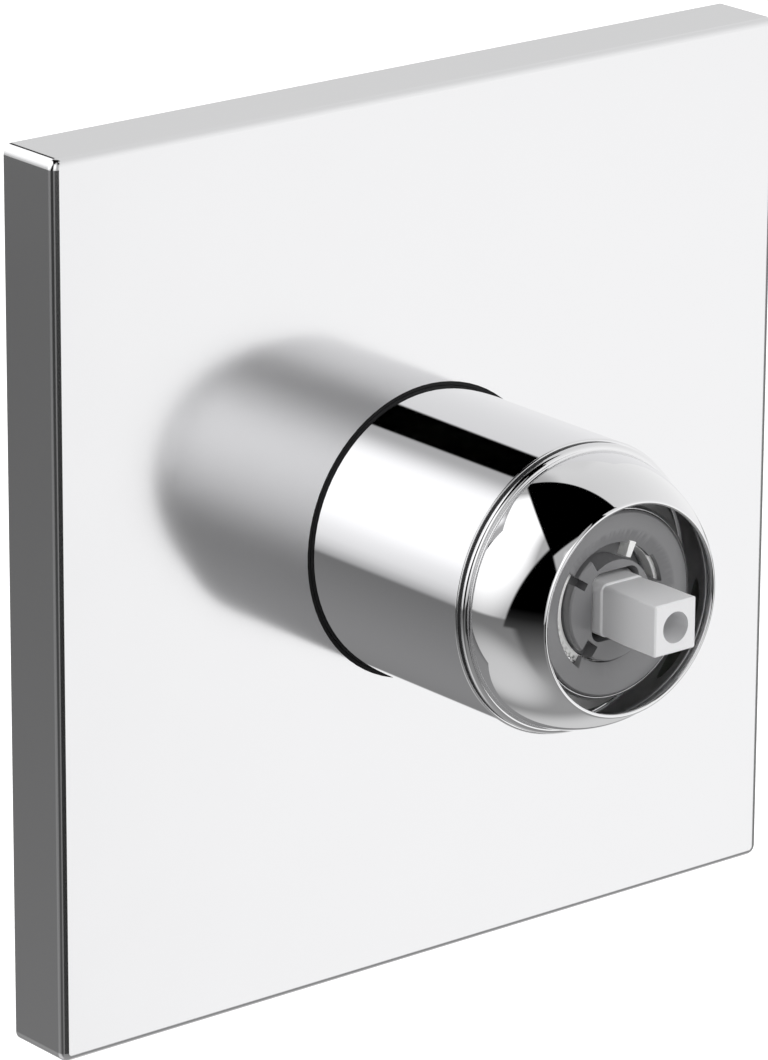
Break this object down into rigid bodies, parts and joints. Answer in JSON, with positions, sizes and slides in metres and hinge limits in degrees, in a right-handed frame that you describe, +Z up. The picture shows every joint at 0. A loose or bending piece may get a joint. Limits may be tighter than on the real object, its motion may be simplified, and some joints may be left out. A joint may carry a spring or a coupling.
{
  "type": "concealed shower mixer",
  "caption": "Concealed shower mixer: square cover plate, round sleeve with domed cap, single-lever cartridge with bare square spindle, brass body with pipe ports in the wall.",
  "frame": {"origin": "on the mixer's axis in the plane of the finished wall, at the centre of the plate's back", "axes": "+X to the right as the user sees it, +Y into the wall, +Z up; the spindle points along -Y"},
  "size_m": [0.15, 0.11, 0.15],
  "materials": {
    "polished_chrome": "polished chrome over a zinc casting, fine orange peel on the large face",
    "turned_chrome": "mirror-polished chrome over turned brass",
    "foam": "closed-cell sealing foam",
    "seal_rubber": "black moulded rubber",
    "washer_plastic": "black glide plastic",
    "pressed_steel": "pressed stainless sheet, rolled grain",
    "screw_steel": "zinc-plated steel",
    "cast_brass": "sand-blasted casting with machined faces",
    "plated_brass": "turned brass, nickel-plated",
    "plated_plastic": "bright-plated moulded plastic",
    "grey_plastic": "glossy mid-grey moulded plastic",
    "white_plastic": "white moulded plastic",
    "spindle_metal": "satin light grey die-cast zinc",
    "pin_steel": "ground stainless steel",
    "slider_plastic": "natural acetal",
    "alumina": "lapped alumina"
  },
  "bodies": {
    "fixed": {"cover_plate": "polished_chrome", "plate_gasket": "foam", "plate_seal": "seal_rubber", "carrier_frame": "pressed_steel", "carrier_screws": "screw_steel", "sleeve": "turned_chrome", "sleeve_o_rings": "seal_rubber", "dome_cap": "turned_chrome", "cap_washer": "washer_plastic", "clamp_nut": "plated_brass", "cartridge_housing": "plated_plastic", "head_cover": "grey_plastic", "limit_ring": "white_plastic", "fixed_disc": "alumina", "disc_seals": "seal_rubber", "cartridge_base": "grey_plastic", "base_seals": "seal_rubber", "valve_body": "cast_brass"},
    "turning": {"rotor": "grey_plastic", "lever_pin": "pin_steel"},
    "lever": {"spindle": "spindle_metal"},
    "shuttle": {"disc_slider": "slider_plastic", "moving_disc": "alumina"}
  },
  "joints": [
    {"name": "temperature_turn", "type": "hinge", "parent": "fixed", "child": "turning", "pos_m": [0, -0.056, 0], "axis": [0, -1, 0], "range_deg": [-50, 50]},
    {"name": "flow_tilt", "type": "hinge", "parent": "turning", "child": "lever", "pos_m": [0, -0.056, 0], "axis": [-1, 0, 0], "range_deg": [-12.5, 12.5]},
    {"name": "disc_shift", "type": "slide", "parent": "turning", "child": "shuttle", "axis": [0, 0, 1], "range_m": [-0.00265, 0.00265]}
  ],
  "couplings": [
    {"joint": "disc_shift", "follows": "flow_tilt", "m_per_rad": -0.012}
  ]
}
